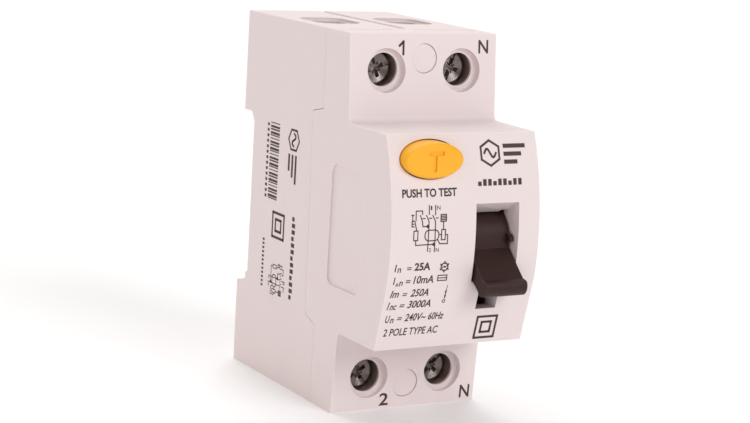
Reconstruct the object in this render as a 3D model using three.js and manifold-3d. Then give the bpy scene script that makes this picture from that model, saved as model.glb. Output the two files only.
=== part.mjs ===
// Two-module residual current device: moulded housing, toggle, test button, terminals, rail clip and
// the switching and sensing parts inside. Millimetres: X right, Y into the body, Z up.
// Y = 0 is the wall that seats on the mounting rail. Z = 0 is the middle of the 45 mm nose.
import * as THREE from "three";
import { mergeVertices } from "three/addons/utils/BufferGeometryUtils.js";
import Module from "manifold-3d";

const wasm = await Module();
wasm.setup();

// Housing envelope
const HALF_WIDTH = 18;
const TOP_Z = 41.2;
const BOTTOM_Z = -40.6;
const REAR_Y = 5.1;
const WALL = 2;
const NOSE_HALF = 22.5;
const CROWN_Y = -64.4;
const CROWN_R = 60;
const CREASE_Z = -8;
const NOSE_LOW_Y = -60.2;
const SEAM_GAP = 0.12;
const CLEAR = 0.3;

// Terminals
const TERMINAL_X = 9.25;
const UPPER_TERMINAL_Z = 33.4;
const LOWER_TERMINAL_Z = -33.2;
const WELL_R = 3.6;
const BORE_R = 4.5;
const SLEEVE_R = [3.95, 4.3];
const COUNTERBORE_R = 4.7;
const HEAD_R = 3.6;
const HEAD_FRONT_Y = -38.6;
const SHANK_R = 2.5;
const TONGUE_Y = [-22.2, -20.7];

// Toggle
const DRUM_Y = -54.7;
const DRUM_Z = -1.8;
const DRUM_R = 7.85;
const DRUM_FLAT = 0.85;
const TOGGLE_X = [2.6, 12.45];
const AXLE_R = 1.5;
const CRANK_R = 5;
const CRANK_DEG = 60;

// Test button
const BUTTON_X = -8.45;
const BUTTON_Z = 17.5;
const BUTTON_W = 14;
const BUTTON_H = 7.6;
const BUTTON_FRONT_Y = -64.2;

// Contact mechanism
const CARRIER_Y = -31;
const CARRIER_Z = -3;
const LUG_R = 14.4;
const LUG_DEG = 100;
const OPEN_DEG = 20;
const LINK_SAG = 0.22;
const ARM_X = [-9, 9];

// Plugs and the cover screws under them
const PLUG_R = 3.1;
const PLUG_SINK = 0.25;
const UPPER_PLUG_Z = 35.9;
const LOWER_PLUG_Z = -35.2;

const root = new THREE.Group();

// ---- shape helpers ----

function toSolid(geometry) {
  const plain = new THREE.BufferGeometry();
  plain.setAttribute("position", geometry.getAttribute("position"));
  plain.setIndex(geometry.index);
  const merged = mergeVertices(plain, 1e-4);
  return new wasm.Manifold(
    new wasm.Mesh({
      numProp: 3,
      vertProperties: merged.attributes.position.array,
      triVerts: new Uint32Array(merged.index.array),
    }),
  );
}

function toGeometry(solid) {
  const mesh = solid.getMesh();
  const geometry = new THREE.BufferGeometry();
  geometry.setAttribute("position", new THREE.BufferAttribute(mesh.vertProperties, 3));
  geometry.setIndex(new THREE.BufferAttribute(mesh.triVerts, 1));
  const flat = geometry.toNonIndexed();
  flat.computeVertexNormals();
  return flat;
}

function join(...solids) {
  return solids.reduce((a, b) => a.add(b));
}

function cut(solid, ...tools) {
  return tools.reduce((a, b) => a.subtract(b), solid);
}

function add(name, solid, colour, roughness, metalness = 0) {
  const material = new THREE.MeshStandardMaterial({ color: colour, roughness, metalness });
  const mesh = new THREE.Mesh(toGeometry(solid), material);
  mesh.name = name;
  root.add(mesh);
}

function outline(points) {
  return new THREE.Shape(points.map(([a, b]) => new THREE.Vector2(a, b)));
}

function slab(points, depth) {
  return new THREE.ExtrudeGeometry(outline(points), { depth, bevelEnabled: false });
}

// A (y, z) outline drawn out along X.
function prismX(points, x0, x1) {
  const geometry = slab(points, x1 - x0);
  const turn = new THREE.Matrix4().makeBasis(
    new THREE.Vector3(0, 1, 0),
    new THREE.Vector3(0, 0, 1),
    new THREE.Vector3(1, 0, 0),
  );
  return toSolid(geometry.applyMatrix4(turn).translate(x0, 0, 0));
}

// An (x, z) outline drawn out along Y.
function prismY(points, y0, y1) {
  const geometry = slab(points, y1 - y0);
  const turn = new THREE.Matrix4().makeBasis(
    new THREE.Vector3(1, 0, 0),
    new THREE.Vector3(0, 0, 1),
    new THREE.Vector3(0, -1, 0),
  );
  return toSolid(geometry.applyMatrix4(turn).translate(0, y1, 0));
}

// An (x, y) outline drawn out along Z.
function prismZ(points, z0, z1) {
  return toSolid(slab(points, z1 - z0).translate(0, 0, z0));
}

function block(x, y, z) {
  const geometry = new THREE.BoxGeometry(x[1] - x[0], y[1] - y[0], z[1] - z[0]);
  return toSolid(geometry.translate((x[0] + x[1]) / 2, (y[0] + y[1]) / 2, (z[0] + z[1]) / 2));
}

function rodX(y, z, r, x0, x1, sides = 24) {
  const geometry = new THREE.CylinderGeometry(r, r, x1 - x0, sides).rotateZ(Math.PI / 2);
  return toSolid(geometry.translate((x0 + x1) / 2, y, z));
}

function rodY(x, z, r, y0, y1, sides = 32) {
  const geometry = new THREE.CylinderGeometry(r, r, y1 - y0, sides);
  return toSolid(geometry.translate(x, (y0 + y1) / 2, z));
}

function rodZ(x, y, r, z0, z1, sides = 24) {
  const geometry = new THREE.CylinderGeometry(r, r, z1 - z0, sides).rotateX(Math.PI / 2);
  return toSolid(geometry.translate(x, y, (z0 + z1) / 2));
}

// A profile of (radius, height) points turned round Y and set at (x, y, z).
function turnedY(profile, x, y, z, sides = 32) {
  const points = profile.map(([r, h]) => new THREE.Vector2(r, h));
  return toSolid(new THREE.LatheGeometry(points, sides).translate(x, y, z));
}

function arc(ca, cb, r, fromDeg, toDeg, steps) {
  const points = [];
  for (let i = 0; i <= steps; i++) {
    const t = THREE.MathUtils.degToRad(fromDeg + ((toDeg - fromDeg) * i) / steps);
    points.push([ca + r * Math.cos(t), cb + r * Math.sin(t)]);
  }
  return points;
}

function roundedRect(ca, cb, w, h, r, steps = 5) {
  const a = w / 2 - r;
  const b = h / 2 - r;
  return [
    ...arc(ca + a, cb + b, r, 0, 90, steps),
    ...arc(ca - a, cb + b, r, 90, 180, steps),
    ...arc(ca - a, cb - b, r, 180, 270, steps),
    ...arc(ca + a, cb - b, r, 270, 360, steps),
  ];
}

function ellipse(ca, cb, w, h, steps = 48) {
  const points = [];
  for (let i = 0; i < steps; i++) {
    const t = (2 * Math.PI * i) / steps;
    points.push([ca + (w / 2) * Math.cos(t), cb + (h / 2) * Math.sin(t)]);
  }
  return points;
}

// A round wire of radius r along a smooth path through the points.
function wire(points, r, steps, sides = 8) {
  const path = new THREE.CatmullRomCurve3(points.map((p) => new THREE.Vector3(...p)));
  const section = outline(arc(0, 0, r, 0, 360 - 360 / sides, sides - 1));
  const options = { steps, extrudePath: path, bevelEnabled: false };
  return toSolid(new THREE.ExtrudeGeometry(section, options));
}

// Points of a helix round an axis along Z.
function helixZ(x, y, r, z0, z1, turns) {
  const points = [];
  const count = turns * 12;
  for (let i = 0; i <= count; i++) {
    const t = (2 * Math.PI * turns * i) / count;
    points.push([x + r * Math.cos(t), y + r * Math.sin(t), z0 + ((z1 - z0) * i) / count]);
  }
  return points;
}

// ---- housing ----

// Y of the nose front for a wall set in by the given depth.
function noseY(z, inset = 0) {
  const r = CROWN_R - inset;
  const axisY = CROWN_Y + CROWN_R;
  const curved = axisY - Math.sqrt(r * r - z * z);
  if (z >= CREASE_Z) return curved;
  const creaseY = axisY - Math.sqrt(r * r - CREASE_Z * CREASE_Z);
  const lowY = NOSE_LOW_Y + inset;
  return creaseY + ((lowY - creaseY) * (z - CREASE_Z)) / (-NOSE_HALF - CREASE_Z);
}

function noseFront(top, bottom, inset) {
  const points = [];
  const steps = 22;
  for (let i = 0; i <= steps; i++) {
    const z = top + ((CREASE_Z - top) * i) / steps;
    points.push([noseY(z, inset), z]);
  }
  points.push([noseY(bottom, inset), bottom]);
  return points;
}

// Y of the sloping terminal deck at a height on it.
function deckY(z) {
  if (z > 0) return -42.7 - ((TOP_Z - z) * 1.54) / 18.4;
  return -43.15 - ((z - BOTTOM_Z) * 1.05) / 18;
}

const SEAM = [
  [-32, TOP_Z],
  [-32.6, 24],
  [-28.1, 23],
  [-29.2, -21.7],
  [-33.8, -23.4],
  [-33.4, BOTTOM_Z],
];

// The rear edge of the cover: the seam line drawn back by the gap, from the bottom up.
function coverSeam() {
  const inner = SEAM.slice(1, -1).map(([y, z]) => [y - SEAM_GAP, z - Math.sign(z) * SEAM_GAP]);
  return [
    [SEAM[SEAM.length - 1][0] - SEAM_GAP, BOTTOM_Z],
    ...inner.reverse(),
    [SEAM[0][0] - SEAM_GAP, TOP_Z],
  ];
}

function coverOutline() {
  return [
    ...coverSeam(),
    [deckY(TOP_Z), TOP_Z],
    ...arc(-45.5, 23.8, 1.25, 0, -90, 4),
    ...noseFront(NOSE_HALF, -NOSE_HALF, 0),
    ...arc(-45.5, -23.8, 1.25, 90, 0, 4),
    [deckY(BOTTOM_Z), BOTTOM_Z],
  ];
}

function coverCavity() {
  return [
    [-20, BOTTOM_Z + WALL],
    [-20, TOP_Z - WALL],
    [-40.9, TOP_Z - WALL],
    [-42.2, NOSE_HALF - WALL],
    ...noseFront(NOSE_HALF - WALL, -NOSE_HALF + WALL, WALL),
    [-42.2, -NOSE_HALF + WALL],
    [-41.2, BOTTOM_Z + WALL],
  ];
}

// The well for one terminal screw: a tube behind the deck that keeps the head and its sleeve in and
// lets the shank out.
function screwWell(x, z) {
  return rodY(x, z, 5.6, -42.4, -34.3);
}

function screwWellHoles(x, z) {
  const deck = deckY(z);
  return join(
    rodY(x, z, COUNTERBORE_R, deck - 3, deck + 1.6, 48),
    rodY(x, z, WELL_R, deck, -40, 48),
    rodY(x, z, BORE_R, deck + 2.25, -35.6, 48),
    rodY(x, z, SHANK_R + CLEAR, -36, -30),
  );
}

function plugHoles(z) {
  return join(
    rodY(0, z, PLUG_R + 0.08, -50, -38.6, 48),
    rodY(0, z, 1.6, -39, -30, 20),
  );
}

// Two shallow slots with round ends along the upper side of the cover.
function topSteps() {
  const spans = [
    [-17, -3.8],
    [1.3, 17.3],
  ];
  const slots = spans.map(([a, b]) => {
    const shape = roundedRect((a + b) / 2, -35.6, b - a, 1, 0.48, 3);
    return prismZ(shape, TOP_Z - 0.7, TOP_Z + 1);
  });
  return join(...slots);
}

// Groove across the upper side between the two modules.
function middleGroove() {
  return block([-0.4, 1.2], [-33, 8], [TOP_Z - 0.9, TOP_Z + 1]);
}

function toggleWindow() {
  const wide = prismX(
    [
      [-70, 11.8],
      [-58.8, 5.4],
      [-50, 5.4],
      [-50, -5.2],
      [-57, -5.2],
      [-62.9, -7.85],
      [-70, -13.05],
    ],
    2.2,
    12.85,
  );
  const slot = block([4.7, 9.7], [-70, -50], [-14.6, -5]);
  const drum = rodX(DRUM_Y, DRUM_Z, DRUM_R + 0.35, 2.2, 12.85, 48);
  const ribPath = rodX(DRUM_Y, DRUM_Z, DRUM_R + 1.3, 11.2, 12.85, 48);
  return join(wide, slot, drum, ribPath);
}

// Thickened wall behind the toggle window, following the nose front.
function windowFrame() {
  const points = [];
  for (let i = 0; i <= 8; i++) {
    const z = 9.8 - (25.8 * i) / 8;
    points.push([noseY(z, 1), z]);
  }
  return prismX([...points, [-58.3, -16], [-58.3, 9.8]], 1.3, 14);
}

// Bearing plate and boss that hold the toggle axle.
function axleSupports() {
  const plate = prismX(
    [
      [-62.8, 2.6],
      [-52, 2.6],
      [-51, -1.8],
      [-52, -6.2],
      [-62.8, -6.2],
    ],
    -3.6,
    -2,
  );
  return join(plate, rodX(DRUM_Y, DRUM_Z, 3.4, 13.1, 16.5));
}

function frontCover() {
  let body = prismX(coverOutline(), -HALF_WIDTH, HALF_WIDTH);
  body = cut(body, prismX(coverCavity(), -HALF_WIDTH + WALL, HALF_WIDTH - WALL));
  body = join(body, windowFrame(), axleSupports());
  for (const z of [UPPER_TERMINAL_Z, LOWER_TERMINAL_Z]) {
    for (const x of [-TERMINAL_X, TERMINAL_X]) body = join(body, screwWell(x, z));
  }
  for (const z of [UPPER_PLUG_Z, LOWER_PLUG_Z]) body = join(body, rodY(0, z, 4.3, -42.2, -34.3));
  body = cut(body, toggleWindow(), rodX(DRUM_Y, DRUM_Z, AXLE_R + CLEAR, -5, 16.9));
  for (const z of [UPPER_TERMINAL_Z, LOWER_TERMINAL_Z]) {
    for (const x of [-TERMINAL_X, TERMINAL_X]) body = cut(body, screwWellHoles(x, z));
  }
  for (const z of [UPPER_PLUG_Z, LOWER_PLUG_Z]) body = cut(body, plugHoles(z));
  body = cut(body, prismY(ellipse(BUTTON_X, BUTTON_Z, BUTTON_W + 0.5, BUTTON_H + 0.5), -70, -50));
  for (const side of [-1, 1]) {
    const panel = roundedRect(-45.3, 0.1, 14.2, 26.2, 2);
    const face = side * HALF_WIDTH;
    body = cut(body, prismX(panel, Math.min(face, face - side * 0.4), Math.max(face, face - side * 0.4)));
  }
  body = cut(body, topSteps(), middleGroove());
  return body;
}

function rearOutline() {
  return [
    ...SEAM,
    [REAR_Y, BOTTOM_Z],
    [REAR_Y, -21.45],
    [3.5, -21.2],
    [1.1, -20.4],
    [1.1, -19.1],
    [0, -18.3],
    [0, 16.3],
    [1.4, 18.5],
    [REAR_Y, 18.5],
    [REAR_Y, TOP_Z],
  ];
}

// Funnel-mouthed wire entry through a top or bottom wall.
function wireEntry(x, side) {
  const mouth = roundedRect(x, -17.2, 10.8, 13.3, 3.4);
  const throat = roundedRect(x, -17.2, 9.6, 12.1, 2.9);
  if (side > 0) return join(prismZ(throat, 38, 44), prismZ(mouth, TOP_Z - 0.7, 44));
  return join(prismZ(throat, -44, -37), prismZ(mouth, -44, BOTTOM_Z + 0.7));
}

function clipChannel() {
  const deep = block([-6.2, 6.2], [0.9, 3.5], [-45, -18]);
  const lips = block([-4.8, 4.8], [0.9, 8], [-45, -18]);
  return join(deep, lips);
}

// Shallow reliefs in the seat wall in front of the fixed lip and the clip's nose.
function seatReliefs() {
  const upper = block([-12.5, 12.5], [-0.4, 1.2], [14.9, 16.6]);
  const lower = block([-7, 7], [-0.4, 1.2], [-18.6, -17]);
  return join(upper, lower);
}

function rearBase() {
  let body = prismX(rearOutline(), -HALF_WIDTH, HALF_WIDTH);
  const cavity = prismX(
    [
      [-45, BOTTOM_Z + WALL],
      [-2, BOTTOM_Z + WALL],
      [-2, 20.5],
      [REAR_Y - WALL, 20.5],
      [REAR_Y - WALL, TOP_Z - WALL],
      [-45, TOP_Z - WALL],
    ],
    -HALF_WIDTH + WALL,
    HALF_WIDTH - WALL,
  );
  body = cut(body, cavity);
  const lip = block([-12, 12], [1.5, 3.6], [15.3, 19]);
  const post = block([-1.4, 1.4], [0.5, 3.3], [-36, -34.6]);
  body = cut(join(body, lip), clipChannel(), seatReliefs());
  body = join(body, post);
  for (const [z, rear] of [
    [UPPER_PLUG_Z, 4],
    [LOWER_PLUG_Z, 0],
  ]) {
    body = join(body, rodY(0, z, 2.9, -31.5, rear, 24));
    body = cut(body, rodY(0, z, 1.6, -34, -6, 20));
  }
  for (const x of [-TERMINAL_X, TERMINAL_X]) {
    body = cut(body, wireEntry(x, 1), wireEntry(x, -1));
  }
  body = join(body, carrierBearing(-1), carrierBearing(1));
  body = cut(body, rodX(CARRIER_Y, CARRIER_Z, 1.3, -17, 17, 20));
  return cut(body, middleGroove());
}

// Plate that carries one end of the contact carrier's shaft.
function carrierBearing(side) {
  const plate = [
    [-1, -8],
    [-1, 4],
    [CARRIER_Y + 1, 1.2],
    ...arc(CARRIER_Y + 2.2, CARRIER_Z, 4, 90, 270, 8),
    [CARRIER_Y + 1, -7.2],
  ];
  const foot = [
    [-1, -8],
    [-1, 4],
    [-26, 1.8],
    [-26, -7.4],
  ];
  const inner = side * 14.2;
  const face = side * 15.7;
  const outer = side * 16.5;
  return join(
    prismX(plate, Math.min(inner, face), Math.max(inner, face)),
    prismX(foot, Math.min(inner, outer), Math.max(inner, outer)),
  );
}

function plug(z) {
  const outer = rodY(0, z, PLUG_R, -43.6, -41.6, 48);
  const front = prismX(
    [
      [-60, z + 6],
      [deckY(z + 6) + PLUG_SINK, z + 6],
      [deckY(z - 6) + PLUG_SINK, z - 6],
      [-60, z - 6],
    ],
    -5,
    5,
  );
  return cut(outer, front);
}

function coverScrew(z) {
  const head = rodY(0, z, 2.5, -41.1, -38.9);
  const shank = rodY(0, z, 1.3, -39.5, -8, 16);
  const slotA = block([-1.8, 1.8], [-43, -40], [z - 0.35, z + 0.35]);
  const slotB = block([-0.35, 0.35], [-43, -40], [z - 1.8, z + 1.8]);
  return cut(join(head, shank), slotA, slotB);
}

// ---- toggle ----

// The toggle's drum: round, but flatter where the handle leaves it.
function drumOutline() {
  const points = [];
  for (let i = 0; i < 72; i++) {
    const t = (2 * Math.PI * i) / 72;
    const r = DRUM_R - DRUM_FLAT * Math.max(0, Math.cos(t)) ** 5;
    points.push([DRUM_Y - r * Math.cos(t), DRUM_Z - r * Math.sin(t)]);
  }
  return points;
}

function toggleLever() {
  const drum = prismX(drumOutline(), TOGGLE_X[0], TOGGLE_X[1]);
  const handle = prismX(
    [
      [-57, -1],
      [-61.62, -1.78],
      [-67.85, -7.2],
      [-68.67, -7.29],
      [-69.25, -7.5],
      [-69.6, -7.95],
      [-69.69, -8.69],
      [-69.6, -9.3],
      [-69.3, -9.85],
      [-68.9, -10.35],
      [-68.3, -10.62],
      [-67.4, -10.75],
      [-66.4, -10.5],
      [-66, -9.85],
      [-62.94, -7.6],
      [-57, -5],
    ],
    TOGGLE_X[0],
    TOGGLE_X[1],
  );
  const web = prismX(
    [
      [-57, -4],
      [-62, -5],
      [-66.3, -9.4],
      [-65.6, -11],
      [-61.4, -12],
      [-57, -8],
    ],
    5.4,
    9.1,
  );
  const rib = prismX(
    [
      [-60, 1.4],
      [-62.4, 1.2],
      [-63.15, 0.7],
      [-63.2, -0.2],
      [-62.2, -0.7],
      [-60, -0.6],
    ],
    TOGGLE_X[1] - 0.9,
    TOGGLE_X[1],
  );
  const t = THREE.MathUtils.degToRad(CRANK_DEG);
  const crank = rodX(DRUM_Y - CRANK_R * Math.cos(t), DRUM_Z + CRANK_R * Math.sin(t), 1, -1.6, 4, 16);
  const body = join(drum, handle, web, rib, crank);
  return cut(body, rodX(DRUM_Y, DRUM_Z, AXLE_R + CLEAR, -5, 20));
}

// Link from the toggle's crank pin to the lug pin of the contact carrier. The lug pin rides a little
// up and down in its eye over the travel, so the eye sits midway between the two extremes.
function toggleLink() {
  const t = THREE.MathUtils.degToRad(CRANK_DEG);
  const a = [DRUM_Y - CRANK_R * Math.cos(t), DRUM_Z + CRANK_R * Math.sin(t)];
  const lug = lugPin();
  const b = [lug[0], lug[1] - LINK_SAG];
  const eyeA = rodX(a[0], a[1], 2.2, -1.3, 0.4, 24);
  const eyeB = rodX(b[0], b[1], 2.3, -1.3, 0.4, 24);
  const dy = b[0] - a[0];
  const dz = b[1] - a[1];
  const length = Math.hypot(dy, dz);
  const ny = (-dz / length) * 1.2;
  const nz = (dy / length) * 1.2;
  const bar = prismX(
    [
      [a[0] + ny, a[1] + nz],
      [b[0] + ny, b[1] + nz],
      [b[0] - ny, b[1] - nz],
      [a[0] - ny, a[1] - nz],
    ],
    -1.3,
    0.4,
  );
  const holes = join(rodX(a[0], a[1], 1.3, -3, 3, 20), rodX(b[0], b[1], 1.35, -3, 3, 20));
  return cut(join(eyeA, eyeB, bar), holes);
}

function toggleSpring() {
  const points = [];
  const turns = 3;
  const count = turns * 12;
  for (let i = 0; i <= count; i++) {
    const t = (2 * Math.PI * turns * i) / count;
    points.push([-7.6 + (2.6 * i) / count, DRUM_Y + 2.4 * Math.cos(t), DRUM_Z + 2.4 * Math.sin(t)]);
  }
  return wire(points, 0.35, 60, 6);
}

// ---- contacts ----

function lugPin() {
  const t = THREE.MathUtils.degToRad(LUG_DEG);
  return [CARRIER_Y + LUG_R * Math.cos(t), CARRIER_Z + LUG_R * Math.sin(t)];
}

// Geometry drawn as it stands with the contacts closed, about the carrier's pivot, then leaned open.
function leanOpen(geometry) {
  const open = THREE.MathUtils.degToRad(OPEN_DEG);
  return toSolid(geometry.rotateX(open).translate(0, CARRIER_Y, CARRIER_Z));
}

function leaningPrism(points, x0, x1) {
  const geometry = slab(points, x1 - x0);
  const turn = new THREE.Matrix4().makeBasis(
    new THREE.Vector3(0, 1, 0),
    new THREE.Vector3(0, 0, 1),
    new THREE.Vector3(1, 0, 0),
  );
  return leanOpen(geometry.applyMatrix4(turn).translate(x0, 0, 0));
}

// Moulded cross-bar with one lug in the middle that the link pulls and two sockets for the arms.
function contactCarrier() {
  const [py, pz] = lugPin();
  const barrel = rodX(CARRIER_Y, CARRIER_Z, 3.4, -13.8, 13.8, 32);
  const lug = prismX(
    [
      [CARRIER_Y - 2.6, CARRIER_Z],
      [py - 2, pz - 0.5],
      [py - 1.2, pz + 1.7],
      [py + 1.2, pz + 1.7],
      [py + 2, pz - 0.5],
      [CARRIER_Y + 2.6, CARRIER_Z],
    ],
    0.8,
    3,
  );
  let body = join(barrel, lug, rodX(py, pz, 1, -1.6, 1.6, 16));
  const holder = roundedRect(0, 3.6, 4.4, 7.2, 0.6, 3);
  const socket = roundedRect(0, 6.3, 1.8, 4, 0.1, 1);
  for (const x of ARM_X) body = join(body, leaningPrism(holder, x - 3.2, x + 3.2));
  for (const x of ARM_X) body = cut(body, leaningPrism(socket, x - 2.3, x + 2.3));
  return cut(body, rodX(CARRIER_Y, CARRIER_Z, 1.3, -20, 20, 20));
}

// Copper arm, cranked so that its pad meets the fixed contact squarely when it swings shut.
function movingContact(x) {
  const arm = leaningPrism(
    [
      [-0.6, 4.6],
      [0.6, 4.6],
      [0.6, 7.6],
      [6.4, 13],
      [6.4, 22.8],
      [5.4, 22.8],
      [5.4, 13.4],
      [-0.6, 8],
    ],
    x - 2,
    x + 2,
  );
  const pad = new THREE.CylinderGeometry(1.8, 1.8, 1.2, 24).translate(x, 6.8, 20.6);
  return join(arm, leanOpen(pad));
}

// Upper terminal plate: the tongue inside the cage, bent down to the fixed contact pad.
function upperTongue(x) {
  const plate = block([x - 2.6, x + 2.6], TONGUE_Y, [15, 37.6]);
  const foot = block([x - 2.6, x + 2.6], [-22.2, -12], [15, 16.5]);
  const pad = rodY(x, 17.6, 1.9, -23.2, -22, 24);
  return join(plate, foot, pad);
}

function lowerTongue(x) {
  const plate = block([x - 2.6, x + 2.6], TONGUE_Y, [-37.6, -23.6]);
  const foot = block([x - 2.6, x + 2.6], [-22.2, -15], [-25.1, -23.6]);
  return join(plate, foot);
}

// Thick lead from a lower terminal, up through the sensing core, to the carrier's pivot.
function primaryConductor(side) {
  const points = [
    [side * 8, -17, -22.1],
    [side * 5.5, -16, -21],
    [side * 2.6, -14.5, -18.5],
    [side * 2.4, -14.5, -13],
    [side * 2.6, -14.8, -7],
    [side * 5, -18, -4],
    [side * 8, -22, -3],
    [side * 9, -26.6, -3],
  ];
  return wire(points, 1.25, 30, 10);
}

function ring(x, y, outer, inner, z0, z1, sides) {
  return cut(rodZ(x, y, outer, z0, z1, sides), rodZ(x, y, inner, z0 - 1, z1 + 1, sides));
}

function sensingCore() {
  return ring(0, -14.5, 9.6, 6.2, -17, -9.5, 48);
}

// Winding: a sleeve over one third of the ring, with a lump for each few turns of wire.
function secondaryWinding() {
  const sector = prismZ([[0, -14.5], ...arc(0, -14.5, 20, 30, 150, 12)], -25, 0);
  let sleeve = ring(0, -14.5, 10.9, 4.9, -18.3, -8.2, 48).intersect(sector);
  sleeve = cut(sleeve, ring(0, -14.5, 9.9, 5.9, -17.3, -9.2, 48));
  for (let i = 0; i <= 7; i++) {
    const t = THREE.MathUtils.degToRad(36 + (108 * i) / 7);
    const x = 10.7 * Math.cos(t);
    const y = -14.5 + 10.7 * Math.sin(t);
    sleeve = join(sleeve, rodZ(x, y, 0.5, -18.2, -8.3, 8));
  }
  return sleeve;
}

// ---- terminals ----

function terminalScrew(x, z) {
  const head = turnedY(
    [
      [0, 0],
      [HEAD_R - 0.3, 0],
      [HEAD_R, 0.3],
      [HEAD_R, 2.5],
      [0, 2.5],
    ],
    x,
    HEAD_FRONT_Y,
    z,
  );
  const shank = rodY(x, z, SHANK_R - 0.3, HEAD_FRONT_Y + 2, -22.6, 24);
  const slots = [];
  for (const deg of [20, 110]) {
    const slot = new THREE.BoxGeometry(3.6, 1.8, 0.9);
    slots.push(toSolid(slot.rotateY(THREE.MathUtils.degToRad(deg)).translate(x, HEAD_FRONT_Y + 0.6, z)));
  }
  const long = new THREE.BoxGeometry(6.9, 1.2, 1);
  slots.push(toSolid(long.rotateY(THREE.MathUtils.degToRad(20)).translate(x, HEAD_FRONT_Y + 0.2, z)));
  return cut(join(head, shank), ...slots);
}

// Rolled steel sleeve round the screw head, open along one side.
function wellSleeve(x, z) {
  const tube = cut(rodY(x, z, SLEEVE_R[1], -40.9, -35.9, 48), rodY(x, z, SLEEVE_R[0], -45, -30, 48));
  return cut(tube, block([x - 6, x - 3], [-45, -30], [z - 0.35, z + 0.35]));
}

// Rectangular clamp with a threaded front wall. It rises towards the screw head to grip the wire.
function terminalCage(x, z) {
  const outer = block([x - 5.3, x + 5.3], [-24.7, -9.4], [z - 4.4, z + 4.4]);
  const inner = block([x - 4.1, x + 4.1], [-22.7, -10.9], [z - 6, z + 6]);
  return cut(outer, inner, rodY(x, z, SHANK_R, -26, -20, 24));
}

// ---- test circuit ----

// One layer of the button: an ellipse inset all round, from a front Y back to another.
function buttonLayer(inset, front, back) {
  const shape = ellipse(BUTTON_X, BUTTON_Z, BUTTON_W - 2 * inset, BUTTON_H - 2 * inset);
  return prismY(shape, front, back);
}

function testButton() {
  const face = BUTTON_FRONT_Y;
  const cap = join(
    buttonLayer(0, face + 0.6, -58),
    buttonLayer(0.25, face + 0.2, -60),
    buttonLayer(0.65, face, -60),
  );
  const flange = block(
    [BUTTON_X - 7.4, BUTTON_X + 8.2],
    [-58.6, -57.4],
    [BUTTON_Z - 4.8, BUTTON_Z + 2.6],
  );
  const stem = rodY(BUTTON_X, BUTTON_Z, 1.6, -58, -50.4, 24);
  const depth = [face - 1, face + 0.35];
  const bar = block([BUTTON_X - 1.3, BUTTON_X + 2.4], depth, [BUTTON_Z + 0.9, BUTTON_Z + 1.8]);
  const upright = block([BUTTON_X + 0.05, BUTTON_X + 1.05], depth, [BUTTON_Z - 2.6, BUTTON_Z + 1]);
  return cut(join(cap, flange, stem), bar, upright);
}

// Spring wire leg on a peg: the button's stem pushes its free end against the test contact.
function testSpring() {
  const hub = rodX(-48, 8, 1.7, -10.2, -6.7, 20);
  const leg = prismX(
    [
      [-48.5, 8],
      [-50, 16.5],
      [-50, 19.6],
      [-49.3, 19.6],
      [-49.3, 16.6],
      [-47.6, 8],
    ],
    BUTTON_X - 0.9,
    BUTTON_X + 0.9,
  );
  return cut(join(hub, leg), rodX(-48, 8, 1, -12, -5, 16));
}

function testPeg() {
  return rodX(-48, 8, 0.7, -15.7, -5.2, 16);
}

function testContact() {
  const strip = block([BUTTON_X - 1.5, BUTTON_X + 1.5], [-46.6, -46], [11, 19.6]);
  const foot = block([BUTTON_X - 1.5, BUTTON_X + 1.5], [-46.6, -42.6], [11, 11.6]);
  return join(strip, foot);
}

function testResistor() {
  const body = rodX(-41, 15.6, 1.9, -13.4, -5.4, 20);
  const caps = join(rodX(-41, 15.6, 2.15, -13.9, -12, 20), rodX(-41, 15.6, 2.15, -6.8, -4.9, 20));
  return join(body, caps, rodX(-41, 15.6, 0.4, -15.6, -3.2, 10));
}

// ---- trip relay ----

const RELAY = { x: [-15, -4.4], y: [-55, -39], z: [-18.5, -5.5] };

function tripRelay() {
  const x = (RELAY.x[0] + RELAY.x[1]) / 2;
  const body = block(RELAY.x, RELAY.y, RELAY.z);
  const collar = rodZ(x, -47, 2.7, RELAY.z[1] - 0.5, RELAY.z[1] + 1, 24);
  return cut(join(body, collar), rodZ(x, -47, 1.6, RELAY.z[1] - 6, 0, 20));
}

function tripPlunger() {
  const x = (RELAY.x[0] + RELAY.x[1]) / 2;
  return join(rodZ(x, -47, 1.3, RELAY.z[1] - 3.5, -3, 20), rodZ(x, -47, 2, -3.2, -2.4, 20));
}

// Lever above the plunger; the plunger lifts its front end.
function latchLever() {
  const x = (RELAY.x[0] + RELAY.x[1]) / 2;
  const hub = rodX(-38, 0, 2, x - 3, x + 3, 24);
  const blade = block([x - 2, x + 2], [-49.2, -38], [-2, -0.8]);
  const tail = prismX(
    [
      [-39, 0],
      [-38.6, 6.2],
      [-37.4, 6.2],
      [-37, 0],
    ],
    x - 2,
    x + 2,
  );
  return cut(join(hub, blade, tail), rodX(-38, 0, 1.1, -20, 20, 16));
}

function latchPin() {
  return rodX(-38, 0, 0.8, -15.7, -4.2, 16);
}

// ---- rail clip ----

function railClip() {
  const wide = block([-5.8, 5.8], [1.3, 3.1], [-40, -17.4]);
  const back = block([-4.4, 4.4], [1.3, 4.8], [-40, -17.4]);
  const nose = prismX(
    [
      [3.1, -15],
      [6, -15],
      [6, -20.5],
      [4.8, -20],
    ],
    -10,
    10,
  );
  const window = block([-1.9, 1.9], [0, 8], [-36.3, -26]);
  const slot = block([-2.8, 2.8], [2.6, 8], [-39, -37.6]);
  return cut(join(wide, back), nose, window, slot);
}

function clipSpring() {
  return wire(helixZ(0, 2.9, 1.1, -34.0, -26.6, 6), 0.25, 120, 6);
}

// ---- assembly ----

const PLASTIC = 0xe6dcdb;
const DARK = 0x3a2c2a;
const COPPER = 0xb9754a;
const STEEL = 0x9a9a9c;
const BRONZE = 0x6a5a50;

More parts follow.
